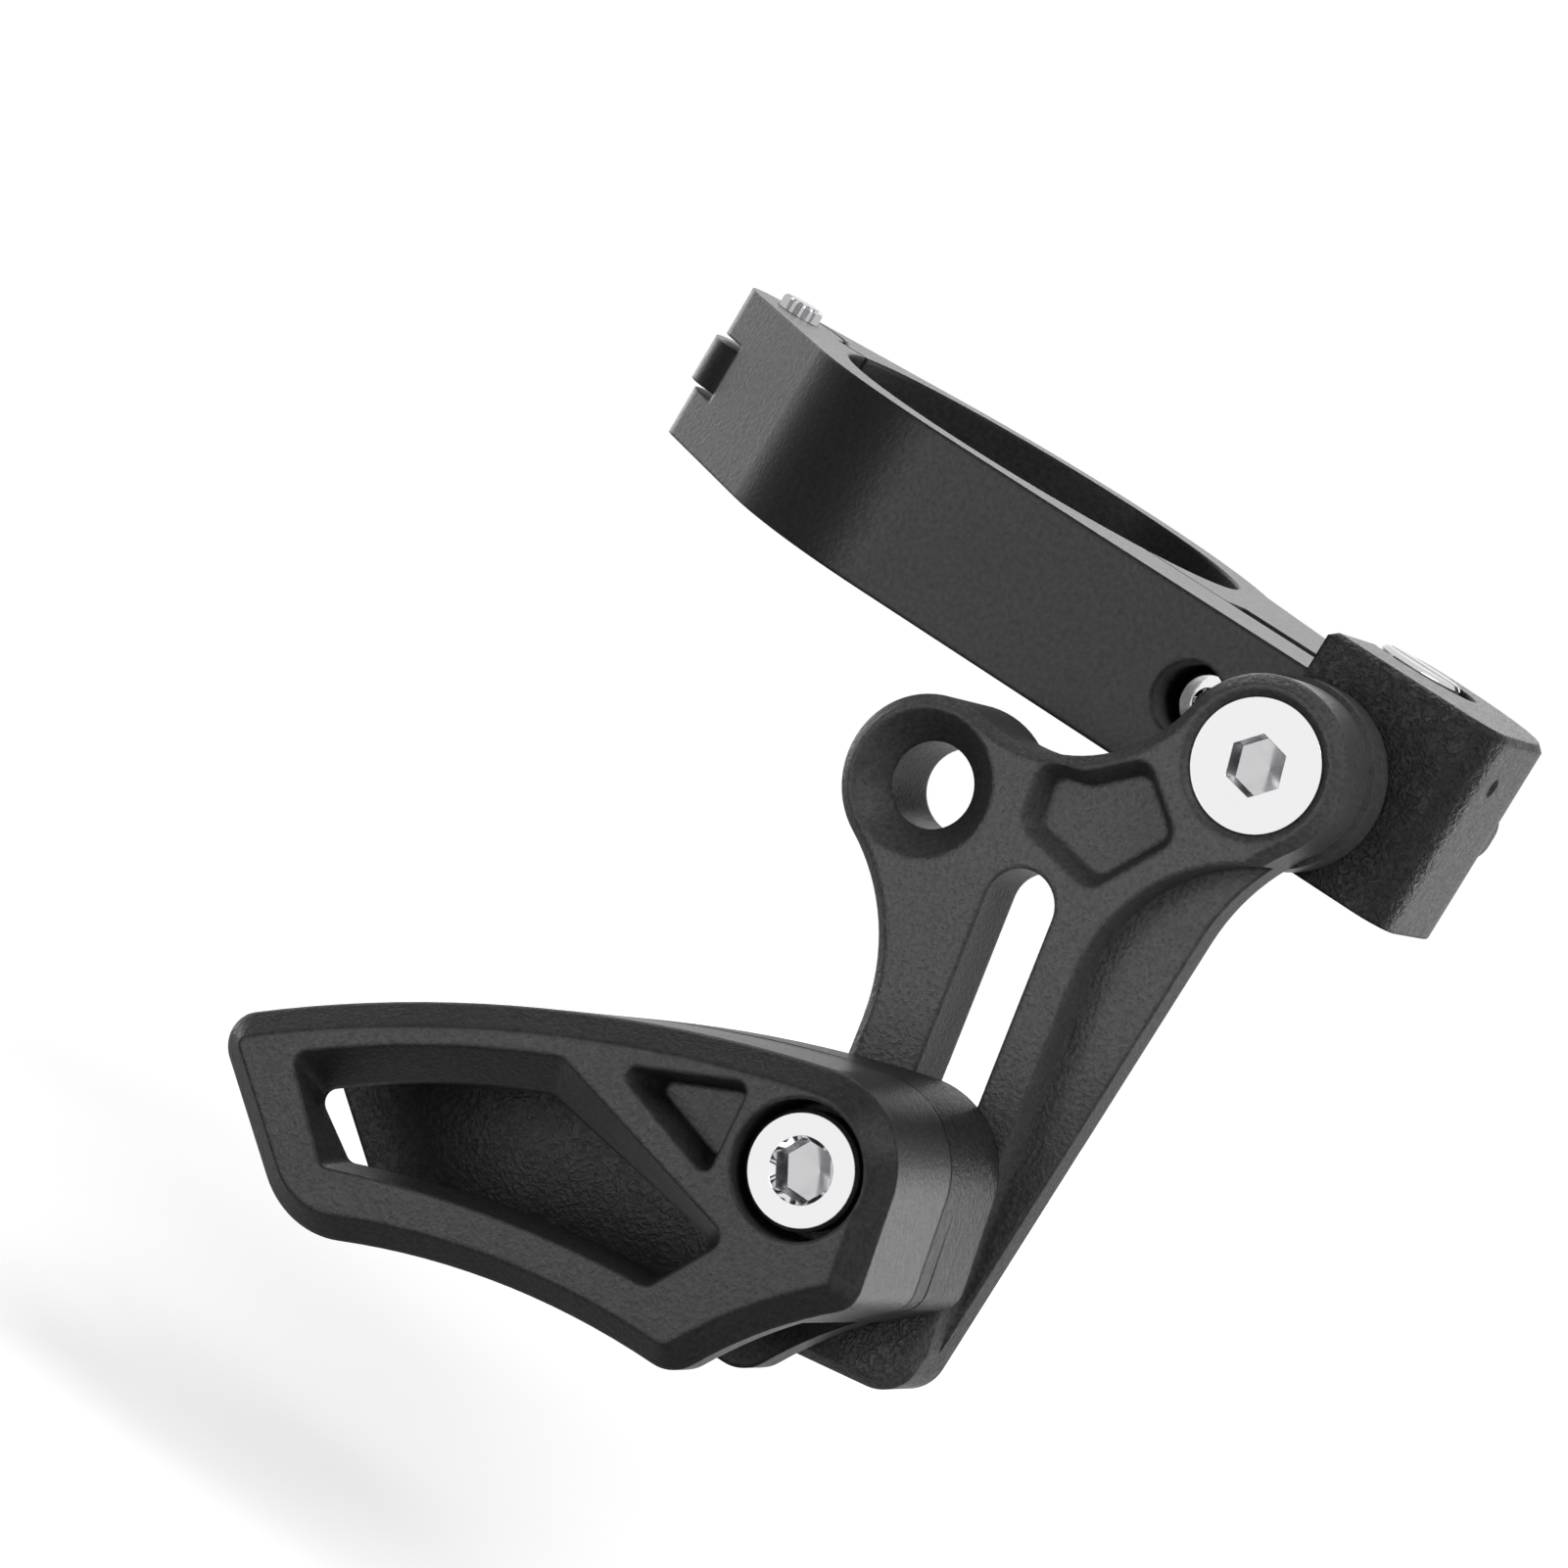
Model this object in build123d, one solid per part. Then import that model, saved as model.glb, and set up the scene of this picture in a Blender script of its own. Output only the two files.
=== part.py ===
"""Clamp-on bicycle chain guide.

A hinged two-piece clamp grips the seat tube, an arm swings on a bolt in the clamp's block, and a two-piece
guide slides and tilts on the arm's slot. The origin is the middle of the clamp's bore, +Z runs up the seat
tube, +X points from the hinge to the block, and the outer side of the bicycle is towards -Y.
"""
import os
from math import acos, cos, radians, sin, sqrt

from build123d import *

# Clamp
TUBE_DIAMETER = 34.9
BAND_HEIGHT = 13.0
FRONT_WALL = 3.7
REAR_WALL = 3.4
HINGE_BEYOND_BORE = 6.85
KNUCKLE_RADIUS = 4.1
KNUCKLE_GAP = 0.55
TAB_HEIGHT = 3.8
TAB_PROUD = 0.6
PIN_DIAMETER = 3.5
PIN_PROUD = 1.05
PIN_FIT = 0.06
KNURL_LENGTH = 3.2
KNURL_COUNT = 12
KNURL_DEPTH = 0.3

# Closing faces of the two clamp halves, right of the bore
LAND_INSIDE_BORE = 6.85
LAND_GAP = 0.4
LAND_BEYOND_BORE = 4.15
LUG_STEP = 3.15
LUG_STEP_RUN = 0.4
LUG_TO_BLOCK = 2.4
LUG_SHOULDER_WIDTH = 7.1

# Block at the front end of the clamp
PIVOT_BEYOND_BORE = 18.95
PIVOT_Z = -0.5
BLOCK_LEFT_OF_PIVOT = 3.4
BLOCK_RIGHT_OF_PIVOT = 11.6
BLOCK_RISE = 3.3
BLOCK_DEPTH = 21.55
BLOCK_BACK_ROUND = 12.0
BLOCK_BACK_LEFT_ROUND = 2.4
BLOCK_FRONT_ROUND = 2.8
BLOCK_EDGE = 0.5
GATE_MARK_BEHIND_FRONT = 4.9
GATE_MARK_BELOW_TOP = 3.9
GATE_MARK_RADIUS = 0.9
GATE_MARK_DEPTH = 0.4

# Finger tail of the rear half, behind the block
TAIL_SHORT_OF_BLOCK = 4.1
TAIL_THICKNESS = 4.6
TAIL_HEIGHT = 5.6
TAIL_Z = 0.6
TAIL_GAP = 0.9

# Barrel nut and pivot bolt
BARREL_BEHIND_FRONT = 12.95
BARREL_DIAMETER = 9.0
BARREL_CLEARANCE = 0.2
BARREL_HEAD = 6.6
BARREL_SHOULDER = 1.4
BARREL_PROUD = 0.3
BARREL_CHAMFER = 0.25
BARREL_FLOOR = 1.6
BARREL_SLOT_WIDTH = 1.2
BARREL_SLOT_DEPTH = 0.9
PIVOT_THREAD = 6.0
PIVOT_FIT = 0.08
PIVOT_HEAD = 10.0
PIVOT_KEY = 4.0
PIVOT_KEY_DEPTH = 2.2
PIVOT_LENGTH = 26.0

# Clamp screw and its square nut
SCREW_BEYOND_BORE = 9.05
SCREW_Z = -0.1
SCREW_THREAD = 3.0
SCREW_HEAD = 5.0
SCREW_HEAD_HEIGHT = 3.0
SCREW_KEY = 2.5
SCREW_KEY_DEPTH = 1.6
SCREW_RECESS = 4.5
SCREW_CLEARANCE = 0.3
SCREW_LENGTH = 22.0
SCREW_SHORT_OF_BACK = 0.95
SCREW_SWING_OUT = 2.6
SCREW_SWING_IN = 1.0
NUT_WIDTH = 5.5
NUT_THICKNESS = 2.4
NUT_FIT = 0.1
NUT_BORE_CLEARANCE = 0.3

# Arm
ARM_STANDOFF = 9.6
ARM_THICKNESS = 6.0
ARM_LEAN = 10.0
ARM_GAP = 0.2
ARM_EDGE = 0.8
PIVOT_HEAD_RADIUS = 6.6
PIVOT_BOSS_RADIUS = 7.0
FRAME_HOLE_X = -22.8
FRAME_HOLE_Y = -10.3
FRAME_HOLE_DIAMETER = 6.4
FRAME_HEAD_RADIUS = 6.5
COUNTERSINK = 10.85
NECK_HOLLOW = 11.2
WAIST_HOLLOW = 15.0
WAIST_X = -20.7
RIGHT_HOLLOW = 16.0
RIGHT_EDGE_OFFSET = 2.52
RIGHT_EDGE_TAPER = 10.9
ARM_BOTTOM = -51.8
ARM_CORNER = 3.2
SLOT_X = -12.45
SLOT_WIDTH = 5.4
SLOT_TOP = -13.0
SLOT_BOTTOM = -47.6
SCOOP_LEFT = -6.65
SCOOP_DEPTH = 3.2
SCOOP_ROUND = 12.9
SCOOP_HEAD_RIM = 0.4
POCKET_DEPTH = 2.0
POCKET_DRAFT = 0.9
POCKET_ROUND = 1.5

# Side outline of the guide about its bolt: corners, and points that its curves pass through
GUIDE_TOP_LEFT = (-45.9, 8.7)
GUIDE_CROWN = (-20.0, 10.35)
GUIDE_TOP_RIGHT = (1.5, 7.05)
GUIDE_RIGHT = (6.4, -1.7)
GUIDE_UNDER = (-1.6, -10.8)
GUIDE_TIP = (-9.2, -14.7)
GUIDE_BELLY = (-22.5, -9.0)
GUIDE_NOSE = (-39.5, -6.5)
GUIDE_TOP_LEFT_ROUND = 2.4
GUIDE_HEEL_ROUND = 2.2
GUIDE_TIP_ROUND = 3.0
GUIDE_NOSE_ROUND = 7.0
WINDOW_TOP_RIGHT = (-18.0, 7.0)
WINDOW_RIGHT = (-4.8, -5.0)
WEB_WIDTH = 1.6
WEB_FOOT = (-0.6, -10.0)
TRIANGLE = ((-14.2, 6.7), (-3.7, 5.8), (-6.7, -0.9))

# Guide, two halves that meet at a seam
GUIDE_SLIDE = -36.5
GUIDE_TILT = 30.0
GUIDE_DEPTH = 22.0
GUIDE_GAP = 0.2
SEAM_DEPTH = 9.8
PLATE = 4.0
INNER_FRONT = 7.5
GUIDE_CHAMFER = 1.8
INNER_CHAMFER = 0.7
INNER_SHORT = 2.2
ROOF = 2.2
ROOF_LEFT = -35.6
SIDE_LENGTH = 7.9
TRIANGLE_ROUND = 0.7
TRIANGLE_DEPTH = 3.0
TRIANGLE_DRAFT = 0.7
WINDOW_ROUND = 1.0
WINDOW_SLOPE = 2.6

# Guide bolt and slot nut
GUIDE_THREAD = 5.0
GUIDE_HEAD = 8.5
GUIDE_HEAD_HEIGHT = 5.0
GUIDE_KEY = 4.0
GUIDE_KEY_DEPTH = 2.6
GUIDE_COUNTERBORE = 9.8
GUIDE_HEAD_SUNK = 0.7
GUIDE_BOLT_FIT = 0.08
GUIDE_BOLT_REACH = 9.6
SLOT_NUT_LENGTH = 10.4
SLOT_NUT_FIT = 0.12
SLOT_NUT_NECK = 5.0
SLOT_NUT_FLANGE_WIDTH = 8.0
SLOT_NUT_FLANGE_LENGTH = 11.0
SLOT_NUT_FLANGE = 2.6

# Places worked out from the sizes above
BORE_RADIUS = TUBE_DIAMETER / 2
FRONT_RADIUS = BORE_RADIUS + FRONT_WALL
REAR_RADIUS = BORE_RADIUS + REAR_WALL
HALF_HEIGHT = BAND_HEIGHT / 2
FRONT_Y = -FRONT_RADIUS
HINGE_REACH = BORE_RADIUS + HINGE_BEYOND_BORE
PIVOT_X = BORE_RADIUS + PIVOT_BEYOND_BORE
BLOCK_LEFT = PIVOT_X - BLOCK_LEFT_OF_PIVOT
BLOCK_RIGHT = PIVOT_X + BLOCK_RIGHT_OF_PIVOT
BLOCK_BACK = FRONT_Y + BLOCK_DEPTH
BLOCK_TOP = HALF_HEIGHT + BLOCK_RISE
BARREL_Y = FRONT_Y + BARREL_BEHIND_FRONT
TAIL_END = BLOCK_RIGHT - TAIL_SHORT_OF_BLOCK
SCREW_X = BORE_RADIUS + SCREW_BEYOND_BORE
SCREW_SEAT = FRONT_Y + SCREW_RECESS + SCREW_HEAD_HEIGHT
LAND_DEPTH = BORE_RADIUS - LAND_INSIDE_BORE
LAND_END = BORE_RADIUS + LAND_BEYOND_BORE
LUG_RIGHT = BLOCK_LEFT - LUG_TO_BLOCK
LUG_SHOULDER = LUG_RIGHT - LUG_SHOULDER_WIDTH
LUG_BACK = SCREW_SEAT + SCREW_LENGTH + SCREW_SHORT_OF_BACK
ARM_FACE_Y = FRONT_Y - ARM_STANDOFF
GUIDE_SEAT = GUIDE_DEPTH - GUIDE_HEAD_SUNK - GUIDE_HEAD_HEIGHT
FAR = 200.0

# Frames of the arm and of the guide: x along, y up the plate, z towards the outer side
ARM_FACE = Plane((PIVOT_X, ARM_FACE_Y, PIVOT_Z), x_dir=(1, 0, 0), z_dir=(0, -1, 0))
ARM_FRAME = ARM_FACE.location * Rot(Z=ARM_LEAN)
SLIDER_FRAME = ARM_FRAME * Pos(SLOT_X, GUIDE_SLIDE, 0)
GUIDE_FRAME = SLIDER_FRAME * Rot(Z=GUIDE_TILT - ARM_LEAN)


def upright(radius, bottom, top, x=0.0, y=0.0):
    """A cylinder along Z between two heights."""
    return Pos(x, y, (bottom + top) / 2) * Cylinder(radius, top - bottom)


def crosswise(radius, front, back, x, z):
    """A cylinder along Y between two depths."""
    return Pos(x, (front + back) / 2, z) * Rot(X=90) * Cylinder(radius, back - front)


def slab(sketch, bottom, top):
    """A flat outline raised between two heights."""
    return Pos(0, 0, bottom) * extrude(sketch, top - bottom)


def hexagon(key):
    """The outline of a hexagonal key socket, by its width across flats."""
    return RegularPolygon(key / 2, 6, major_radius=False)


def strap_plan(radius):
    """Plan of a clamp half: the ring and the hinge knuckle with the two tangents between them."""
    lean = acos((radius - KNUCKLE_RADIUS) / HINGE_REACH)
    ring_x = -radius * cos(lean)
    ring_y = radius * sin(lean)
    knuckle_x = -HINGE_REACH - KNUCKLE_RADIUS * cos(lean)
    knuckle_y = KNUCKLE_RADIUS * sin(lean)
    between = make_face(Polyline((ring_x, ring_y), (knuckle_x, knuckle_y), (knuckle_x, -knuckle_y),
                                 (ring_x, -ring_y), close=True))
    return Circle(radius) + Pos(-HINGE_REACH, 0) * Circle(KNUCKLE_RADIUS) + between


def box_between(x0, x1, y0, y1, z0, z1):
    """A box from its six sides."""
    return Pos((x0 + x1) / 2, (y0 + y1) / 2, (z0 + z1) / 2) * Box(x1 - x0, y1 - y0, z1 - z0)


def rectangle_between(x0, x1, y0, y1):
    """A rectangle from its four sides."""
    return Pos((x0 + x1) / 2, (y0 + y1) / 2) * Rectangle(x1 - x0, y1 - y0)


def make_front_half():
    """Front clamp half: thin band, closing bar and the raised block that carries the arm."""
    band = strap_plan(FRONT_RADIUS) - rectangle_between(-FAR, 0, -KNUCKLE_GAP / 2, FAR)
    band -= rectangle_between(0, FAR, -LAND_DEPTH, FAR)
    bar = rectangle_between(0, BLOCK_RIGHT - BLOCK_BACK_ROUND, FRONT_Y, -LAND_DEPTH)
    plan = band + bar - Circle(BORE_RADIUS)
    body = slab(plan, -HALF_HEIGHT, HALF_HEIGHT)
    body += upright(KNUCKLE_RADIUS, -HALF_HEIGHT, HALF_HEIGHT, -HINGE_REACH)
    block = rectangle_between(BLOCK_LEFT, BLOCK_RIGHT, FRONT_Y, BLOCK_BACK)
    block = fillet(block.vertices().sort_by(Axis.Y)[-2:].sort_by(Axis.X)[-1], BLOCK_BACK_ROUND)
    block = fillet(block.vertices().sort_by(Axis.X)[:2].sort_by(Axis.Y)[-1], BLOCK_BACK_LEFT_ROUND)
    block = fillet(block.vertices().sort_by(Axis.Y)[:2].sort_by(Axis.X)[-1], BLOCK_FRONT_ROUND)
    block = slab(block, -HALF_HEIGHT, BLOCK_TOP)
    block = chamfer(block.faces().sort_by(Axis.Z)[-1].edges(), BLOCK_EDGE)
    body += block
    # Room for the rear half's middle knuckle
    body -= upright(KNUCKLE_RADIUS + TAB_PROUD + KNUCKLE_GAP, -TAB_HEIGHT / 2 - KNUCKLE_GAP,
                    TAB_HEIGHT / 2 + KNUCKLE_GAP, -HINGE_REACH)
    body -= upright(PIN_DIAMETER / 2, -FAR, FAR, -HINGE_REACH)
    # Barrel nut hole from the top, pivot bolt hole from the front
    barrel_hole = BARREL_DIAMETER / 2 + BARREL_CLEARANCE
    body -= upright(barrel_hole, -HALF_HEIGHT + BARREL_FLOOR, FAR, PIVOT_X, BARREL_Y)
    bolt_end = ARM_FACE_Y + PIVOT_LENGTH + 1.0
    body -= crosswise(PIVOT_THREAD / 2 + BARREL_CLEARANCE, -FAR, bolt_end, PIVOT_X, PIVOT_Z)
    # Recessed clamp screw
    body -= crosswise(SCREW_HEAD / 2 + SCREW_CLEARANCE, -FAR, SCREW_SEAT, SCREW_X, SCREW_Z)
    body -= crosswise(SCREW_THREAD / 2 + SCREW_CLEARANCE, -FAR, FAR, SCREW_X, SCREW_Z)
    # Gate mark of the moulding, a shallow dimple in the block's end
    gate_x = BLOCK_RIGHT + GATE_MARK_RADIUS - GATE_MARK_DEPTH
    gate = Pos(gate_x, FRONT_Y + GATE_MARK_BEHIND_FRONT, BLOCK_TOP - GATE_MARK_BELOW_TOP)
    return body - gate * Sphere(GATE_MARK_RADIUS)


def make_rear_half():
    """Rear clamp half: thin band, middle knuckle, closing lug and the tail behind the block."""
    band = strap_plan(REAR_RADIUS) - rectangle_between(-FAR, 0, -FAR, KNUCKLE_GAP / 2)
    band -= rectangle_between(0, FAR, -FAR, -LAND_DEPTH + LAND_GAP)
    land = -LAND_DEPTH + LAND_GAP
    lug = make_face(Polyline((0, land), (LAND_END, land), (LAND_END + LUG_STEP_RUN, land + LUG_STEP),
                             (LUG_RIGHT, land + LUG_STEP), (LUG_RIGHT, LUG_BACK), (LUG_SHOULDER, LUG_BACK),
                             (0, REAR_RADIUS), close=True))
    plan = band + lug - Circle(BORE_RADIUS)
    body = slab(plan, -HALF_HEIGHT, HALF_HEIGHT)
    # Room for the front half's two knuckles, then the middle knuckle itself
    clear = KNUCKLE_RADIUS + KNUCKLE_GAP
    body -= upright(clear, -FAR, FAR, -HINGE_REACH)
    tab = Circle(KNUCKLE_RADIUS + TAB_PROUD)
    reach = rectangle_between(0, KNUCKLE_RADIUS + 2.0, KNUCKLE_GAP / 2, KNUCKLE_RADIUS + TAB_PROUD)
    body += Pos(-HINGE_REACH, 0) * slab(tab + reach, -TAB_HEIGHT / 2, TAB_HEIGHT / 2)
    body -= upright(BORE_RADIUS, -FAR, FAR)
    body -= upright(PIN_DIAMETER / 2 + PIN_FIT, -FAR, FAR, -HINGE_REACH)
    # Tail behind the block
    tail_front = BLOCK_BACK + TAIL_GAP
    tail = rectangle_between(LUG_RIGHT - 1.0, TAIL_END, TAIL_Z - TAIL_HEIGHT / 2, TAIL_Z + TAIL_HEIGHT / 2)
    tail = fillet(tail.vertices().sort_by(Axis.X)[-2:], TAIL_HEIGHT / 2 - 0.4)
    body += Pos(0, tail_front + TAIL_THICKNESS, 0) * Rot(X=90) * extrude(tail, TAIL_THICKNESS)
    # Slotted screw hole and nut pocket, open to the back
    hole = SCREW_THREAD / 2 + SCREW_CLEARANCE
    slot = SlotCenterToCenter(SCREW_SWING_OUT + SCREW_SWING_IN, 2 * hole)
    slot_x = SCREW_X + (SCREW_SWING_OUT - SCREW_SWING_IN) / 2
    body -= Pos(slot_x, FAR, SCREW_Z) * Rot(X=90) * extrude(slot, 2 * FAR)
    side = NUT_WIDTH + 2 * NUT_FIT
    body -= box_between(SCREW_X - side / 2, SCREW_X + side / 2, LUG_BACK - NUT_THICKNESS - NUT_FIT, FAR,
                        SCREW_Z - side / 2, SCREW_Z + side / 2)
    return body


def make_hinge_pin():
    """Hinge pin with a straight knurl on the end that stands out of the top knuckle."""
    top = HALF_HEIGHT + PIN_PROUD
    pin = upright(PIN_DIAMETER / 2, -HALF_HEIGHT, top)
    groove = Rot(Z=45) * Box(KNURL_DEPTH, KNURL_DEPTH, KNURL_LENGTH)
    round_pin = PolarLocations(PIN_DIAMETER / 2, KNURL_COUNT)
    pin -= [Pos(0, 0, top - KNURL_LENGTH / 2) * place * groove for place in round_pin]
    return Pos(-HINGE_REACH, 0, 0) * pin


def cap_screw(thread, length, head, head_height, key, key_depth):
    """A socket head cap screw along Z, the seat of its head at the origin and its tip below."""
    screw = upright(thread / 2, -length, 0) + upright(head / 2, 0, head_height)
    screw = chamfer(screw.faces().sort_by(Axis.Z)[-1].edges(), head / 30)
    return screw - slab(hexagon(key), head_height - key_depth, head_height)


def make_clamp_screw():
    """Clamp screw, its head sunk in the front half."""
    screw = cap_screw(SCREW_THREAD, SCREW_LENGTH, SCREW_HEAD, SCREW_HEAD_HEIGHT, SCREW_KEY, SCREW_KEY_DEPTH)
    return Pos(SCREW_X, SCREW_SEAT, SCREW_Z) * Rot(X=90) * screw


def make_clamp_nut():
    """Square nut in the rear half's pocket."""
    bore = SCREW_THREAD / 2 + NUT_BORE_CLEARANCE
    nut = Box(NUT_WIDTH, NUT_WIDTH, NUT_THICKNESS) - Cylinder(bore, NUT_THICKNESS)
    nut = chamfer(nut.edges().filter_by(Axis.Z).filter_by(GeomType.LINE), 0.3)
    return Pos(SCREW_X, LUG_BACK - NUT_THICKNESS / 2, SCREW_Z) * Rot(X=90) * nut


def make_barrel_nut():
    """Barrel nut in the block, with a slot across its top and the pivot bolt's thread across it."""
    top = BLOCK_TOP + BARREL_PROUD
    shoulder = BLOCK_TOP - BARREL_SHOULDER
    nut = upright(BARREL_DIAMETER / 2, -HALF_HEIGHT + BARREL_FLOOR, shoulder)
    nut += upright(BARREL_HEAD / 2, shoulder, top)
    nut = chamfer(nut.faces().sort_by(Axis.Z)[-1].edges(), BARREL_CHAMFER)
    nut -= box_between(-FAR, FAR, -BARREL_SLOT_WIDTH / 2, BARREL_SLOT_WIDTH / 2, top - BARREL_SLOT_DEPTH, FAR)
    nut -= crosswise(PIVOT_THREAD / 2, -FAR, FAR, 0, PIVOT_Z)
    return Pos(PIVOT_X, BARREL_Y, 0) * nut


def countersink_cut(rim, hole, x, y):
    """A countersunk through hole in the arm, opening at the arm's face."""
    depth = (rim - hole) / 2
    cone = Pos(x, y, -depth / 2) * Cone(hole / 2, rim / 2, depth)
    return cone + upright(hole / 2, -FAR, 0, x, y)


def make_pivot_bolt():
    """Countersunk bolt that the arm swings on."""
    sunk = (COUNTERSINK - PIVOT_HEAD) / 2 - PIVOT_FIT
    cone = (PIVOT_HEAD - PIVOT_THREAD) / 2
    bolt = Pos(0, 0, -sunk - cone / 2) * Cone(PIVOT_THREAD / 2, PIVOT_HEAD / 2, cone)
    bolt += upright(PIVOT_THREAD / 2, -PIVOT_LENGTH, -sunk - cone)
    bolt -= slab(hexagon(PIVOT_KEY), -sunk - PIVOT_KEY_DEPTH, 0)
    return ARM_FRAME * bolt


def hollow_centre(first, first_radius, second, second_radius, hollow):
    """Centre of a concave arc that meets two round heads, on the left of the line from first to second."""
    along = Vector(*second) - Vector(*first)
    span = along.length
    reach = first_radius + hollow
    other = second_radius + hollow
    foot = (span ** 2 + reach ** 2 - other ** 2) / (2 * span)
    height = sqrt(reach ** 2 - foot ** 2)
    across = Vector(-along.Y, along.X) / span
    centre = Vector(*first) + along * (foot / span) + across * height
    return (centre.X, centre.Y)


def arm_plan():
    """Outline of the arm: two heads, a waisted stem and the hollows between them."""
    pivot = (0, 0)
    frame_hole = (FRAME_HOLE_X, FRAME_HOLE_Y)
    neck = hollow_centre(frame_hole, FRAME_HEAD_RADIUS, pivot, PIVOT_HEAD_RADIUS, NECK_HOLLOW)
    neck_web = make_face(Polyline(frame_hole, neck, pivot, close=True)) - Pos(*neck) * Circle(NECK_HOLLOW)
    # Waist: a hollow that meets the frame head and the upright left edge
    waist_side = WAIST_X - WAIST_HOLLOW - FRAME_HOLE_X
    waist_y = FRAME_HOLE_Y - sqrt((FRAME_HEAD_RADIUS + WAIST_HOLLOW) ** 2 - waist_side ** 2)
    waist = (WAIST_X - WAIST_HOLLOW, waist_y)
    waist_web = make_face(Polyline(frame_hole, waist, (WAIST_X, waist_y), close=True))
    waist_web -= Pos(*waist) * Circle(WAIST_HOLLOW)
    # Right hollow: meets the pivot head and the slanted right edge
    lean = radians(RIGHT_EDGE_TAPER)
    away = Vector(cos(lean), -sin(lean))
    down = Vector(-sin(lean), -cos(lean))
    run = sqrt((PIVOT_HEAD_RADIUS + RIGHT_HOLLOW) ** 2 - (RIGHT_EDGE_OFFSET + RIGHT_HOLLOW) ** 2)
    right = away * (RIGHT_EDGE_OFFSET + RIGHT_HOLLOW) + down * run
    start = away * RIGHT_EDGE_OFFSET + down * run
    right_web = make_face(Polyline(pivot, (start.X, start.Y), (right.X, right.Y), close=True))
    right_web -= Pos(right.X, right.Y) * Circle(RIGHT_HOLLOW)
    corner_x = (RIGHT_EDGE_OFFSET + sin(lean) * ARM_BOTTOM) / cos(lean)
    stem = make_face(Polyline(pivot, (start.X, start.Y), (corner_x, ARM_BOTTOM), (WAIST_X, ARM_BOTTOM),
                              (WAIST_X, waist_y), frame_hole, close=True))
    stem = fillet(stem.vertices().sort_by(Axis.Y)[:2], ARM_CORNER)
    stem -= Pos(*waist) * Circle(WAIST_HOLLOW)
    heads = Circle(PIVOT_HEAD_RADIUS) + Pos(*frame_hole) * Circle(FRAME_HEAD_RADIUS)
    return stem + heads + neck_web + waist_web + right_web


def scoop_plan():
    """The stepped-back flange along the arm's right side, below the pivot head."""
    reach = PIVOT_HEAD_RADIUS + SCOOP_HEAD_RIM + SCOOP_ROUND
    centre_x = SCOOP_LEFT + SCOOP_ROUND
    centre_y = -sqrt(reach ** 2 - centre_x ** 2)
    return Pos(centre_x, centre_y) * Circle(SCOOP_ROUND) + rectangle_between(SCOOP_LEFT, FAR, -FAR, centre_y)


def pocket_plan(draft):
    """The shield-shaped hollow between the arm's heads; draft draws its sides in towards the floor."""
    left = (-14.7, -10.4)
    top_left = (-15.0, -5.3)
    dip = (-11.6, -5.0)
    top_right = (-7.5, -2.3)
    right = (-3.2, -7.0)
    low = (-8.0, -12.8)
    outline = make_face(Polyline(left, top_left, dip, top_right, right, low, close=True))
    outline = offset(outline, -draft, kind=Kind.INTERSECTION)
    return fillet(outline.vertices(), POCKET_ROUND - draft / 2)


def make_arm():
    """Arm: plate with two bossed heads, a long slot, a pocket and a stepped-back right flange."""
    arm = slab(arm_plan(), -ARM_THICKNESS, 0)
    arm = chamfer(arm.faces().sort_by(Axis.Z)[-1].outer_wire().edges(), ARM_EDGE)
    back = -ARM_STANDOFF + ARM_GAP
    arm += upright(PIVOT_BOSS_RADIUS, back, -ARM_THICKNESS)
    arm += upright(FRAME_HEAD_RADIUS, back, -ARM_THICKNESS, FRAME_HOLE_X, FRAME_HOLE_Y)
    arm -= slab(scoop_plan(), -SCOOP_DEPTH, FAR)
    slot_length = SLOT_TOP - SLOT_BOTTOM
    slot = Pos(SLOT_X, (SLOT_TOP + SLOT_BOTTOM) / 2) * SlotOverall(slot_length, SLOT_WIDTH, rotation=90)
    arm -= slab(slot, -FAR, FAR)
    arm -= loft([Pos(0, 0, -POCKET_DEPTH) * pocket_plan(POCKET_DRAFT), pocket_plan(0.0)])
    arm -= countersink_cut(COUNTERSINK, PIVOT_THREAD + 2 * PIVOT_FIT, 0, 0)
    arm -= countersink_cut(COUNTERSINK, FRAME_HOLE_DIAMETER, FRAME_HOLE_X, FRAME_HOLE_Y)
    return ARM_FRAME * arm


def moved(point, right, up):
    """A point set off from another."""
    return (point[0] + right, point[1] + up)


def guide_plan(left_short=0.0):
    """Side outline of the guide about its bolt; the inner half is shorter at the left end."""
    top_left = moved(GUIDE_TOP_LEFT, left_short, 0)
    nose = moved(GUIDE_NOSE, left_short, 0)
    top = ThreePointArc(top_left, GUIDE_CROWN, GUIDE_TOP_RIGHT)
    head = TangentArc(GUIDE_TOP_RIGHT, GUIDE_RIGHT, tangent=top % 1)
    side = Line(head @ 1, head @ 1 + (head % 1) * SIDE_LENGTH)
    heel = side @ 1
    under = ThreePointArc(heel, GUIDE_UNDER, GUIDE_TIP)
    belly = ThreePointArc(GUIDE_TIP, GUIDE_BELLY, nose)
    end = Line(nose, top_left)
    outline = make_face([top, head, side, under, belly, end])
    rounds = (
        (top_left, GUIDE_TOP_LEFT_ROUND),
        (heel, GUIDE_HEEL_ROUND),
        (GUIDE_TIP, GUIDE_TIP_ROUND),
        (nose, GUIDE_NOSE_ROUND),
    )
    for corner, radius in rounds:
        outline = fillet(outline.vertices().sort_by_distance(corner)[0], radius)
    return outline


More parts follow.
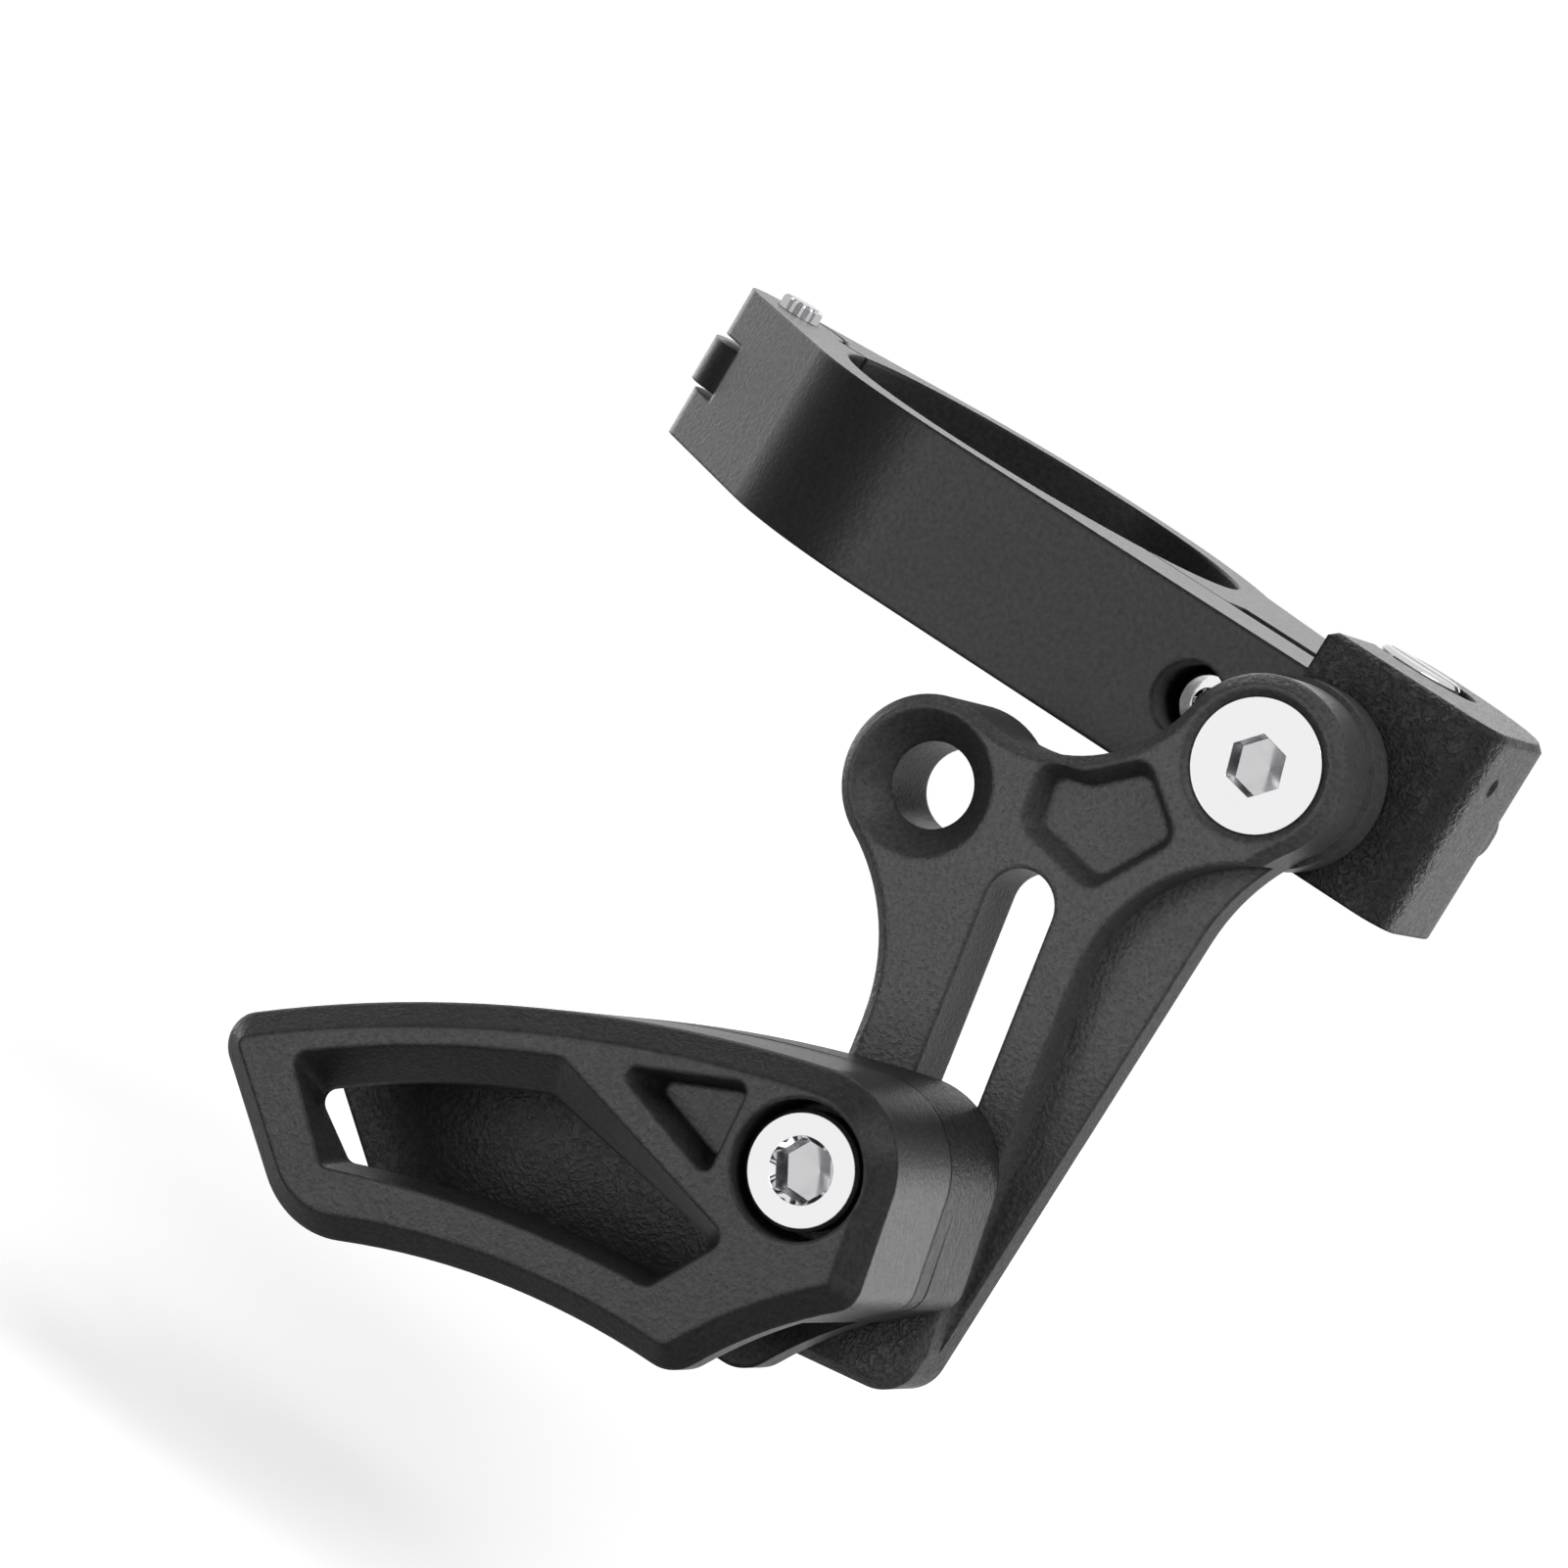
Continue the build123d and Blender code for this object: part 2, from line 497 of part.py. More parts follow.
def boss_plan(outline):
    """The solid end of the guide round its bolt, right of the slanting web."""
    web_top = moved(WINDOW_TOP_RIGHT, -WEB_WIDTH, 0)
    far = FAR / 4
    web = make_face(Polyline((web_top[0], far), web_top, WEB_FOOT, (WEB_FOOT[0], -far), (far, -far),
                             (far, far), close=True))
    return outline & web


def roof_plan(outline):
    """The strip along the guide's top edge that bridges the two plates."""
    strip = outline - Pos(0, -ROOF) * outline
    return strip & rectangle_between(ROOF_LEFT, 0, 0, FAR / 4)


def window_plan(slope):
    """The large window, set in from the outline; slope draws its top and slanted side in towards the back."""
    top_left = moved(GUIDE_TOP_LEFT, 6.9 + 0.15 * slope, -2.3 - slope)
    crown = moved(GUIDE_CROWN, -7.0, -2.95 - slope)
    top_right = moved(WINDOW_TOP_RIGHT, -0.9 * slope, -slope)
    right = moved(WINDOW_RIGHT, -0.9 * slope, -0.2 * slope)
    low = moved(GUIDE_TIP, -1.5 - 0.2 * slope, 6.1 + 0.3 * slope)
    belly = moved(GUIDE_BELLY, 0.5, 4.5 + 0.2 * slope)
    left = moved(GUIDE_NOSE, 3.3 + 0.15 * slope, 5.0 + 0.15 * slope)
    outline = make_face([
        ThreePointArc(top_left, crown, top_right),
        Line(top_right, right),
        Line(right, low),
        ThreePointArc(low, belly, left),
        Line(left, top_left),
    ])
    return fillet(outline.vertices(), WINDOW_ROUND)


def triangle_plan(draft):
    """The small three-sided pocket beside the guide bolt; draft draws its sides in towards the floor."""
    outline = offset(make_face(Polyline(*TRIANGLE, close=True)), -draft, kind=Kind.INTERSECTION)
    return fillet(outline.vertices(), TRIANGLE_ROUND)


def bolt_bore():
    """Through hole of the guide bolt."""
    return upright(GUIDE_THREAD / 2 + GUIDE_BOLT_FIT, -FAR, FAR)


def make_guide_outer():
    """Outer guide half: windowed plate, half of the roof and the bolt's counterbored boss."""
    outline = guide_plan()
    back = GUIDE_DEPTH - PLATE
    half = slab(outline, back, GUIDE_DEPTH)
    half = chamfer(half.faces().sort_by(Axis.Z)[-1].outer_wire().edges(), GUIDE_CHAMFER)
    half += slab(boss_plan(outline), SEAM_DEPTH, back)
    half += slab(roof_plan(outline), SEAM_DEPTH, back)
    half -= loft([Pos(0, 0, back) * window_plan(WINDOW_SLOPE), Pos(0, 0, GUIDE_DEPTH) * window_plan(0.0)])
    floor = Pos(0, 0, GUIDE_DEPTH - TRIANGLE_DEPTH) * triangle_plan(TRIANGLE_DRAFT)
    half -= loft([floor, Pos(0, 0, GUIDE_DEPTH) * triangle_plan(0.0)])
    half -= upright(GUIDE_COUNTERBORE / 2, GUIDE_SEAT, FAR)
    half -= bolt_bore()
    return GUIDE_FRAME * half


def make_guide_inner():
    """Inner guide half: plain plate, half of the roof and the boss that bears on the arm."""
    outline = guide_plan(INNER_SHORT)
    back = INNER_FRONT - PLATE
    half = slab(outline, back, INNER_FRONT)
    half = chamfer(half.faces().sort_by(Axis.Z)[0].outer_wire().edges(), INNER_CHAMFER)
    full = guide_plan()
    half += slab(boss_plan(full), INNER_FRONT, SEAM_DEPTH)
    half += slab(boss_plan(full), GUIDE_GAP, back)
    half += slab(boss_plan(full), back, INNER_FRONT)
    half += slab(roof_plan(full), back, SEAM_DEPTH)
    half -= bolt_bore()
    return GUIDE_FRAME * half


def make_guide_bolt():
    """Bolt that clamps the guide to the arm."""
    length = GUIDE_SEAT + GUIDE_BOLT_REACH
    bolt = cap_screw(GUIDE_THREAD, length, GUIDE_HEAD, GUIDE_HEAD_HEIGHT, GUIDE_KEY, GUIDE_KEY_DEPTH)
    return SLIDER_FRAME * Pos(0, 0, GUIDE_SEAT) * bolt


def make_slot_nut():
    """Flanged nut behind the arm, its neck guided in the slot."""
    width = SLOT_WIDTH - 2 * SLOT_NUT_FIT
    flange_top = -ARM_THICKNESS - SLOT_NUT_FIT
    neck = slab(SlotOverall(SLOT_NUT_LENGTH, width, rotation=90), flange_top, flange_top + SLOT_NUT_NECK)
    flange = slab(RectangleRounded(SLOT_NUT_FLANGE_WIDTH, SLOT_NUT_FLANGE_LENGTH, 1.0),
                  flange_top - SLOT_NUT_FLANGE, flange_top)
    nut = neck + flange - upright(GUIDE_THREAD / 2, -FAR, FAR)
    return SLIDER_FRAME * nut


PARTS = {
    "clamp_front_half": make_front_half,
    "clamp_rear_half": make_rear_half,
    "hinge_pin": make_hinge_pin,
    "clamp_screw": make_clamp_screw,
    "clamp_nut": make_clamp_nut,
    "barrel_nut": make_barrel_nut,
    "pivot_bolt": make_pivot_bolt,
    "arm": make_arm,
    "guide_outer_half": make_guide_outer,
    "guide_inner_half": make_guide_inner,
    "guide_bolt": make_guide_bolt,
    "slot_nut": make_slot_nut,
}

os.makedirs("parts", exist_ok=True)
for name, make in PARTS.items():
    export_step(make(), f"parts/{name}.step")
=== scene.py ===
"""Looks of the clamp-on chain guide: grained black plastic mouldings and bright steel fasteners."""
import math

import bmesh
import bpy
from mathutils import Matrix, Quaternion, Vector


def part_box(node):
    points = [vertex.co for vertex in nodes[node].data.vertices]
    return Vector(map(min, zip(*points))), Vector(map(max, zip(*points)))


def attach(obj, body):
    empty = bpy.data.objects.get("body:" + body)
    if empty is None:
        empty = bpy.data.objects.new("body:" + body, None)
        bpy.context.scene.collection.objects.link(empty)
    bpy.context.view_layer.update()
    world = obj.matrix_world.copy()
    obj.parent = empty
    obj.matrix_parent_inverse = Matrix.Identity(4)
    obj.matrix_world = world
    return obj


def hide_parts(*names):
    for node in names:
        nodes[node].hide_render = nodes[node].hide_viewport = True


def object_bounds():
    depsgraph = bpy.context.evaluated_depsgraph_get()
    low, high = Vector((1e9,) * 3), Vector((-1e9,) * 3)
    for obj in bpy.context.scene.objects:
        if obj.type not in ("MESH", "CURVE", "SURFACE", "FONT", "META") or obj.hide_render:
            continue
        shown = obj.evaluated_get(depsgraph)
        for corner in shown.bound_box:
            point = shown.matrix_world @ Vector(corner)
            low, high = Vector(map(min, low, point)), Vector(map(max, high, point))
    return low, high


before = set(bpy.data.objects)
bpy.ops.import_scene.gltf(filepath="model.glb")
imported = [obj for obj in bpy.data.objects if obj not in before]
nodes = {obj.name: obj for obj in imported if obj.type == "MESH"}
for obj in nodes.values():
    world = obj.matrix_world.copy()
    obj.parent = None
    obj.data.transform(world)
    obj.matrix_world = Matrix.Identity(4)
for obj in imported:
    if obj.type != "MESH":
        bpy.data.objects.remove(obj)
cad_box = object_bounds()
MM = 0.001

# Camera of the photograph: its place, its direction and roll in degrees, and its lens in mm
CAMERA_PLACE = Vector((171.36, -456.71, 43.78)) * MM
CAMERA_AZIMUTH = 21.137
CAMERA_ELEVATION = 7.981
CAMERA_ROLL = 30.814
CAMERA_LENS = 146.16
SENSOR_WIDTH = 36.0
NEAREST = 0.01
FURTHEST = 50.0

# Paper floor: it lies below the lowest place that the guide reaches in any pose
FLOOR_GAP = 22 * MM
FLOOR_REACH = 290 * MM
FLOOR_SIDES = 96
PAPER_GREY = (0.45, 0.45, 0.45, 1)
# The paper's own brightness grows between two reaches in metres, as the lamps fall off
PAPER_SPREAD = (0.08, 0.28)
PAPER_BRIGHTNESS = (0.66, 1.0)

# Light
WHITE = (1, 1, 1, 1)
WORLD_FILL = 0.3
LIGHT_AIM = Vector((15, -30, -20)) * MM

# Plastic: the grain's two kinds, as shares of the grain's size, then what follows the grain, with painted light on
# its crests and painted shade in its creases, and the slow mottle
SPARK_SCALE = 1.0
WRINKLE_SCALE = 0.6
CREST_SPREAD = (0.3, 0.7)
GRAIN_PAINTED_LIGHT_AND_SHADE = (0.65, 1.35)
CREST_RUB = 0.1
MOTTLE_SIZE = 6 * MM
MOTTLE_TINT = (0.75, 1.25)
EDGE_SAMPLES = 6
# Coarser grain: the axis, the places in mm between which it sets in, and its size and depth in mm
BLOCK_PATCH = ("X", 32.8, 33.2, 0.4, 0.14)
ARM_END_PATCH = ("Z", -43, -46, 0.4, 0.12)
PATCH_LEATHER = 0.4
# Hairline where the guide's halves meet, with painted shade in it: its place along Y, and how far from there the
# painted shade is dark and then gone, in mm
GUIDE_SEAM = -40.55
SEAM_PAINTED_SHADE_SPREAD = (0.03, 0.12)

# Steel
MARK_SIZE = 0.5 * MM
MARK_DEPTH = 0.008 * MM
MARK_STRENGTH = 0.3
MARK_SATIN = (0.7, 1.3)
STEEL_EDGE = 0.12 * MM

# Fasteners: corners of a turned loop, sides of a key's socket, and the steepest bend that still looks round
ROUND = 84
HEXAGON = 6
SHARP_ANGLE = math.radians(32)
# The first bands of a bolt are its socket: two of its drilled floor, and its wall, in darker copies of the bolt's
# steel as painted shade in the socket
SOCKET_SHADED_FINISHES = (2, 2, 1)
# Knurl: its grooves, and their depth as a share of the pin's radius
KNURL_GROOVES = 14
GROOVE_DEPTH = 0.28
# Thread: its depth, and half its width at the foot and at the crest, as shares of the pitch
THREAD_DEPTH = 0.55
THREAD_FOOT = 0.45
THREAD_CREST = 0.06
STEPS_IN_A_TURN = 20


def direction(azimuth, elevation):
    """Unit vector from the object towards a side, in degrees round from the outer side of the bicycle and upwards."""
    azimuth = math.radians(azimuth)
    elevation = math.radians(elevation)
    return Vector((math.sin(azimuth) * math.cos(elevation), -math.cos(azimuth) * math.cos(elevation),
                   math.sin(elevation)))


def make_camera():
    """Camera at the photograph's viewpoint, rolled so that +Z leans to the right in the picture."""
    data = bpy.data.cameras.new("camera")
    data.lens = CAMERA_LENS
    data.sensor_width = SENSOR_WIDTH
    data.clip_start = NEAREST
    data.clip_end = FURTHEST
    camera = bpy.data.objects.new("camera", data)
    bpy.context.scene.collection.objects.link(camera)
    level = (-direction(CAMERA_AZIMUTH, CAMERA_ELEVATION)).to_track_quat("-Z", "Y")
    camera.rotation_mode = "QUATERNION"
    camera.rotation_quaternion = level @ Quaternion((0, 0, 1), math.radians(CAMERA_ROLL))
    camera.location = CAMERA_PLACE
    bpy.context.scene.camera = camera


def add(tree, kind, **values):
    """Adds a shader node and sets its properties and, by socket name, its inputs."""
    node = tree.nodes.new(kind)
    for key, value in values.items():
        if hasattr(node, key):
            setattr(node, key, value)
        else:
            node.inputs[key].default_value = value
    return node


def feed(tree, value, socket):
    """Gives a socket a plain number, or links it to the socket that the value comes from."""
    if isinstance(value, bpy.types.NodeSocket):
        tree.links.new(value, socket)
    else:
        socket.default_value = value


def calculate(tree, operation, *values):
    """Result of a math node on sockets or plain numbers."""
    node = add(tree, "ShaderNodeMath", operation=operation)
    for value, socket in zip(values, node.inputs):
        feed(tree, value, socket)
    return node.outputs[0]


def ramp(tree, value, start=(0.0, 1.0), end=(0.0, 1.0), smooth=False):
    """Maps a value from one range to another, and holds it at their ends."""
    node = add(tree, "ShaderNodeMapRange", interpolation_type="SMOOTHSTEP" if smooth else "LINEAR")
    for number, name in zip((*start, *end), ("From Min", "From Max", "To Min", "To Max")):
        node.inputs[name].default_value = number
    tree.links.new(value, node.inputs["Value"])
    return node.outputs[0]


def mix_by(tree, share, first, second):
    """Goes from one value to another as a share grows from nothing to one."""
    mix = add(tree, "ShaderNodeMix", data_type="FLOAT")
    feed(tree, share, mix.inputs[0])
    tree.links.new(first, mix.inputs[2])
    tree.links.new(second, mix.inputs[3])
    return mix.outputs[0]


def noise(tree, place, **values):
    """Noise pattern at a place."""
    texture = add(tree, "ShaderNodeTexNoise", **values)
    tree.links.new(place, texture.inputs["Vector"])
    return texture.outputs["Fac"]


def along(tree, place, axis):
    """How far a place lies along an axis, in metres."""
    apart = add(tree, "ShaderNodeSeparateXYZ")
    tree.links.new(place, apart.inputs[0])
    return apart.outputs[axis]


def background_mask(tree):
    """One for rays that should see the white background: camera, glossy and transmission rays."""
    path = add(tree, "ShaderNodeLightPath").outputs
    seen_or_mirrored = calculate(tree, "MAXIMUM", path["Is Camera Ray"], path["Is Glossy Ray"])
    return calculate(tree, "MAXIMUM", seen_or_mirrored, path["Is Transmission Ray"])


def make_world():
    """Plain soft surround: white where it is seen, a gentle fill where it lights."""
    world = bpy.data.worlds.new("studio")
    world.use_nodes = True
    tree = world.node_tree
    tree.nodes.clear()
    seen = add(tree, "ShaderNodeBackground", Color=WHITE, Strength=1.0)
    light = add(tree, "ShaderNodeBackground", Color=WHITE, Strength=WORLD_FILL)
    mix = add(tree, "ShaderNodeMixShader")
    out = add(tree, "ShaderNodeOutputWorld")
    tree.links.new(background_mask(tree), mix.inputs[0])
    tree.links.new(light.outputs[0], mix.inputs[1])
    tree.links.new(seen.outputs[0], mix.inputs[2])
    tree.links.new(mix.outputs[0], out.inputs[0])
    bpy.context.scene.world = world


def gather(name, *members):
    """Collection of CAD nodes that a lamp is kept to, since bright steel can take less light than black plastic."""
    group = bpy.data.collections.new(name)
    for member in members:
        group.objects.link(nodes[member])
    return group


def make_light(name, side, size, power, shows="both", on=None, distance=1.0):
    """Softbox that faces the object from a side: it shows in reflections, in soft light, or in both, on every piece
    or only on the pieces of a collection."""
    place = LIGHT_AIM + direction(*side) * distance
    data = bpy.data.lights.new(name, "AREA")
    data.shape = "RECTANGLE"
    data.size, data.size_y = size
    data.energy = power
    light = bpy.data.objects.new(name, data)
    bpy.context.scene.collection.objects.link(light)
    light.location = place
    light.rotation_mode = "QUATERNION"
    light.rotation_quaternion = (LIGHT_AIM - place).to_track_quat("-Z", "Y")
    light.visible_glossy = shows != "soft light"
    light.visible_diffuse = shows != "reflections"
    if on:
        light.light_linking.receiver_collection = on


def floor_paper():
    """Pale paper: white where it is lit, grey in the object's shadow."""
    material = bpy.data.materials.new("floor_paper")
    material.use_nodes = True
    tree = material.node_tree
    tree.nodes.clear()
    reach = add(tree, "ShaderNodeVectorMath", operation="LENGTH")
    tree.links.new(add(tree, "ShaderNodeTexCoord").outputs["Object"], reach.inputs[0])
    bright = ramp(tree, reach.outputs["Value"], PAPER_SPREAD, PAPER_BRIGHTNESS)
    paper = add(tree, "ShaderNodeBsdfDiffuse", Color=PAPER_GREY)
    white = add(tree, "ShaderNodeEmission", Color=WHITE)
    both = add(tree, "ShaderNodeAddShader")
    out = add(tree, "ShaderNodeOutputMaterial")
    tree.links.new(calculate(tree, "MULTIPLY", bright, background_mask(tree)), white.inputs["Strength"])
    tree.links.new(paper.outputs[0], both.inputs[0])
    tree.links.new(white.outputs[0], both.inputs[1])
    tree.links.new(both.outputs[0], out.inputs[0])
    return material


def make_floor():
    """Round sheet of paper under the object."""
    lowest = cad_box[0][2] - FLOOR_GAP
    shape = bmesh.new()
    bmesh.ops.create_circle(shape, cap_ends=True, segments=FLOOR_SIDES, radius=FLOOR_REACH,
                            matrix=Matrix.Translation((0, 0, lowest)))
    mesh = bpy.data.meshes.new("floor")
    shape.to_mesh(mesh)
    shape.free()
    mesh.materials.append(floor_paper())
    floor = bpy.data.objects.new("floor", mesh)
    bpy.context.scene.collection.objects.link(floor)
    # The lamps' lower halves reach under the paper's edge, and the paper doesn't cover them
    floor.visible_glossy = False
    floor.visible_shadow = False


def grain_height(tree, place, grain, depth, leather):
    """Moulded grain, fine sparks mixed with leather wrinkles: its pattern, and its height in metres."""
    sparks = noise(tree, place, Scale=SPARK_SCALE / (grain * MM), Detail=3.0, Roughness=0.6)
    wrinkles = noise(tree, place, Scale=WRINKLE_SCALE / (grain * MM), Detail=2.0, Distortion=1.6)
    pattern = mix_by(tree, leather, sparks, ramp(tree, wrinkles, CREST_SPREAD, smooth=True))
    return pattern, calculate(tree, "MULTIPLY", pattern, depth * MM)


def seam_shade(tree, place, seam):
    """Painted shade in the hairline where two mouldings meet: dark there, and one on both sides of it."""
    off = calculate(tree, "ABSOLUTE", calculate(tree, "SUBTRACT", along(tree, place, "Y"), seam * MM))
    return ramp(tree, off, [reach * MM for reach in SEAM_PAINTED_SHADE_SPREAD], smooth=True)


def plastic(name, colour, gloss, rough, grain, depth, edge, leather=0.0, patch=None, seam=None):
    """Black moulded plastic with sizes in mm: its grain, its edges' rounding, a patch of coarser grain beyond a place
    along an axis, and the seam where it meets another moulding, with painted shade in its hairline."""
    material = bpy.data.materials.new(name)
    material.use_nodes = True
    tree = material.node_tree
    shader = tree.nodes["Principled BSDF"]
    shader.inputs["Specular IOR Level"].default_value = gloss
    place = add(tree, "ShaderNodeTexCoord").outputs["Object"]
    pattern, height = grain_height(tree, place, grain, depth, leather)
    if patch:
        axis, start, end, patch_grain, patch_depth = patch
        beyond = ramp(tree, along(tree, place, axis), (start * MM, end * MM), smooth=True)
        coarse_pattern, coarse_height = grain_height(tree, place, patch_grain, patch_depth, PATCH_LEATHER)
        pattern = mix_by(tree, beyond, pattern, coarse_pattern)
        height = mix_by(tree, beyond, height, coarse_height)
    rounded = add(tree, "ShaderNodeBevel", samples=EDGE_SAMPLES, Radius=edge * MM)
    bump = add(tree, "ShaderNodeBump", Strength=1.0, Distance=1.0)
    tree.links.new(height, bump.inputs["Height"])
    tree.links.new(rounded.outputs[0], bump.inputs["Normal"])
    tree.links.new(bump.outputs[0], shader.inputs["Normal"])
    # Colour: a slow mottle, painted light on the grain's crests and painted shade in its creases, and painted shade
    # in the seam's hairline
    mottle = ramp(tree, noise(tree, place, Scale=1 / MOTTLE_SIZE, Detail=4.0), end=MOTTLE_TINT)
    # Painted light and shade: the grain's crests are lightened and its creases darkened
    mottle_and_painted_shading = calculate(tree, "MULTIPLY", mottle, ramp(tree, pattern, CREST_SPREAD, GRAIN_PAINTED_LIGHT_AND_SHADE))
    if seam is not None:
        # Painted shade along the hairline between the guide's halves
        mottle_and_painted_shading = calculate(tree, "MULTIPLY", seam_shade(tree, place, seam), mottle_and_painted_shading)
    shade = add(tree, "ShaderNodeMix", data_type="RGBA", blend_type="MULTIPLY", Factor=1.0)
    shade.inputs[6].default_value = (*colour, 1)
    tree.links.new(mottle_and_painted_shading, shade.inputs[7])
    tree.links.new(shade.outputs[2], shader.inputs["Base Color"])
    # Roughness follows the grain: crests are rubbed smoother than creases
    satin = ramp(tree, pattern, end=(rough + CREST_RUB, rough - CREST_RUB))
    tree.links.new(satin, shader.inputs["Roughness"])
    return material


def steel(name, colour, rough):
    """Bright plated steel with fine machining marks."""
    material = bpy.data.materials.new(name)
    material.use_nodes = True
    tree = material.node_tree
    shader = tree.nodes["Principled BSDF"]
    shader.inputs["Metallic"].default_value = 1.0
    shader.inputs["Base Color"].default_value = (*colour, 1)
    place = add(tree, "ShaderNodeTexCoord").outputs["Object"]
    marks = noise(tree, place, Scale=1 / MARK_SIZE, Detail=4.0)
    satin = ramp(tree, marks, end=[rough * share for share in MARK_SATIN])
    rounded = add(tree, "ShaderNodeBevel", samples=EDGE_SAMPLES, Radius=STEEL_EDGE)
    bump = add(tree, "ShaderNodeBump", Strength=MARK_STRENGTH, Distance=MARK_DEPTH)
    tree.links.new(satin, shader.inputs["Roughness"])
    tree.links.new(marks, bump.inputs["Height"])
    tree.links.new(rounded.outputs[0], bump.inputs["Normal"])
    tree.links.new(bump.outputs[0], shader.inputs["Normal"])
    return material


def dress(material, *names):
    """Gives CAD nodes a finish."""
    for name in names:
        for slot in nodes[name].material_slots:
            slot.material = material


def set_loop(edges, radius, height, sides=0, grooves=0):
    """Sets one loop of a turned piece: round, with flat sides like a key's socket, or grooved like a knurl."""
    for corner in {corner for edge in edges for corner in edge.verts}:
        angle = math.atan2(corner.co.y, corner.co.x)
        reach = radius * MM
        if sides:
            half = math.pi / sides
            reach *= math.cos(half) / math.cos(angle % (2 * half) - half)
        if grooves:
            reach *= 1 - GROOVE_DEPTH * (0.5 + 0.5 * math.cos(grooves * angle)) ** 2
        corner.co = (reach * math.cos(angle), reach * math.sin(angle), height * MM)


def turn_solid(loops, finishes=()):
    """A turned solid: each loop is drawn out of the last, both ends are closed, and the first bands take the numbers
    of their own finishes."""
    shape = bmesh.new()
    bmesh.ops.create_circle(shape, segments=ROUND, radius=1.0)
    rim = list(shape.edges)
    set_loop(rim, *loops[0])
    for band, loop in enumerate(loops[1:]):
        made = bmesh.ops.extrude_edge_only(shape, edges=rim)["geom"]
        rim = [part for part in made if isinstance(part, bmesh.types.BMEdge) and part.is_boundary]
        set_loop(rim, *loop)
        for face in (part for part in made if isinstance(part, bmesh.types.BMFace)):
            face.material_index = finishes[band] if band < len(finishes) else 0
    bmesh.ops.holes_fill(shape, edges=shape.edges)
    return shape


def wind_thread(shape, radius, pitch, top, bottom):
    """Winds the ridge of a right-hand screw thread down a shank."""
    root = radius - THREAD_DEPTH * pitch
    outline = ((root, THREAD_FOOT), (radius, THREAD_CREST), (radius, -THREAD_CREST), (root, -THREAD_FOOT))
    ridge = shape.faces.new([shape.verts.new((reach * MM, 0, (top + lift * pitch) * MM)) for reach, lift in outline])
    turns = (top - bottom) / pitch
    steps = round(turns * STEPS_IN_A_TURN)
    bmesh.ops.spin(shape, geom=[ridge], cent=(0, 0, 0), axis=(0, 0, 1), angle=-turns * math.tau, steps=steps,
                   dvec=(0, 0, (bottom - top) * MM / steps))
    bmesh.ops.holes_fill(shape, edges=shape.edges)


def finish_piece(shape, name, place, body, finishes, node):
    """Puts a shape in its place, dresses it and lets it ride on a body, in place of a CAD node."""
    bmesh.ops.transform(shape, matrix=place, verts=shape.verts)
    bmesh.ops.recalc_face_normals(shape, faces=shape.faces)
    mesh = bpy.data.meshes.new(name)
    shape.to_mesh(mesh)
    shape.free()
    mesh.shade_smooth()
    mesh.set_sharp_from_angle(angle=SHARP_ANGLE)
    for finish in finishes:
        mesh.materials.append(finish)
    piece = bpy.data.objects.new(name, mesh)
    bpy.context.scene.collection.objects.link(piece)
    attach(piece, body)
    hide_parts(node)


def facing_out(node, turn):
    """Frame of a crosswise fastener: middle of its head's face, with z towards the outer side of the bicycle and a
    corner of its socket turned from +X by an angle in degrees."""
    low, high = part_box(node)
    middle = ((low[0] + high[0]) / 2, low[1], (low[2] + high[2]) / 2)
    return (Matrix.Translation(middle) @ Matrix.Rotation(math.radians(90), 4, "X")
            @ Matrix.Rotation(math.radians(turn), 4, "Z"))


def key_socket(key, depth, lead=0.0):
    """Loops of a hexagon socket, from the point of its drilled floor up to its rim: round where it has a lead-in, and
    with a hair of chamfer where it has none."""
    flat = key / 2
    corner = flat / math.cos(math.pi / HEXAGON)
    point, chamfer, lead_width = 0.03, 0.05, 0.1
    loops = [(point, -depth - 0.5 * flat), (0.8 * flat, -depth - 0.12 * flat), (corner, -depth, HEXAGON)]
    if lead:
        return loops + [(corner, -lead, HEXAGON), (corner + lead_width, 0)]
    return loops + [(corner, -chamfer, HEXAGON), (corner + chamfer, 0, HEXAGON)]


def make_pivot_bolt(finishes):
    """Countersunk bolt with a flat polished face, a plain shank in the arm and a thread in the barrel nut."""
    ring, head, radius, root, pitch = 3.0, 4.9, 3.0, 2.46, 1.0
    cone_end, shank_end, root_end, tip = -2.0, -12.0, -25.2, -25.655
    loops = key_socket(key=4.0, depth=2.2)
    # A fine ring turned in the face, then the head's rim and cone, the shank, and the core under the thread
    loops += [(ring - 0.05, 0), (ring, -0.03), (ring + 0.05, 0)]
    loops += [(head - 0.04, 0), (head, -0.08), (radius, cone_end)]
    loops += [(radius - 0.02, shank_end), (root, shank_end - 0.5), (root, root_end), (root - 0.46, tip)]
    shape = turn_solid(loops, SOCKET_SHADED_FINISHES)
    wind_thread(shape, radius, pitch, shank_end - pitch, root_end + 0.4 * pitch)
    finish_piece(shape, "pivot_bolt_turned", facing_out("pivot_bolt", 47.8), "clamp_front", finishes,
                 "pivot_bolt")


def make_cap_screw(name, node, body, finishes, thread, pitch, length, plain, head, head_height, key, key_depth, turn):
    """Socket head cap screw: chamfered head, hexagon socket, plain shank and thread."""
    radius = thread / 2
    root = radius - 0.5 * pitch
    shank = radius - 0.02
    chamfer = 0.3
    tip = -head_height - length
    shank_end = -head_height - plain
    loops = key_socket(key, key_depth, lead=0.12 * key)
    loops += [(head / 2 - chamfer, 0), (head / 2, -chamfer), (head / 2, -head_height), (shank, -head_height)]
    loops += [(shank, shank_end), (root, shank_end - chamfer), (root, tip + chamfer), (root - chamfer, tip)]
    shape = turn_solid(loops, SOCKET_SHADED_FINISHES)
    wind_thread(shape, radius, pitch, shank_end - pitch, tip + 0.6 * pitch)
    finish_piece(shape, name, facing_out(node, turn), body, finishes, node)


